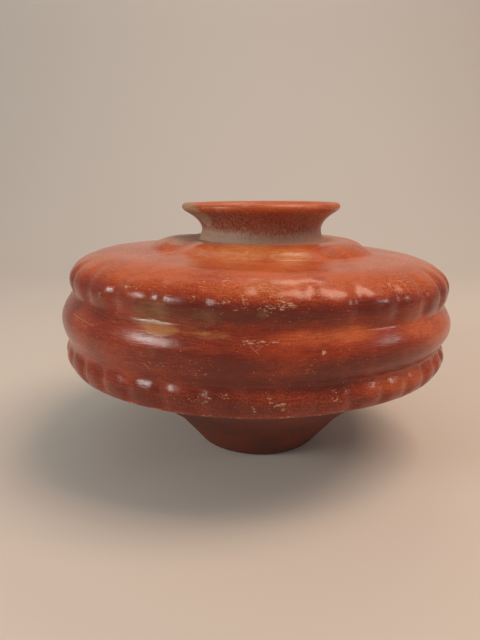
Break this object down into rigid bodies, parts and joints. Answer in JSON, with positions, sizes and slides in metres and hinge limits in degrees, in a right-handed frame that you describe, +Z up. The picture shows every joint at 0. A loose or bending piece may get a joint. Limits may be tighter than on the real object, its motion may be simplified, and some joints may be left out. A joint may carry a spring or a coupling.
{
  "type": "earthenware water jar",
  "caption": "Wide, low, hollow water jar with lobed and ringed body, small flaring foot, lobed collar and short neck with a flaring lip.",
  "frame": {"origin": "middle of the flat underside of the foot", "axes": "+Z up through the mouth; -Y towards the front, the side that the picture shows; +X to the right as seen from the front"},
  "size_m": [0.3027, 0.3024, 0.1937],
  "materials": {
    "red_slipped_earthenware": "burnished red slip, worn and clouded, satin to glossy, with a matt foot"
  },
  "bodies": {
    "root": {"water_jar": "red_slipped_earthenware"}
  },
  "joints": []
}
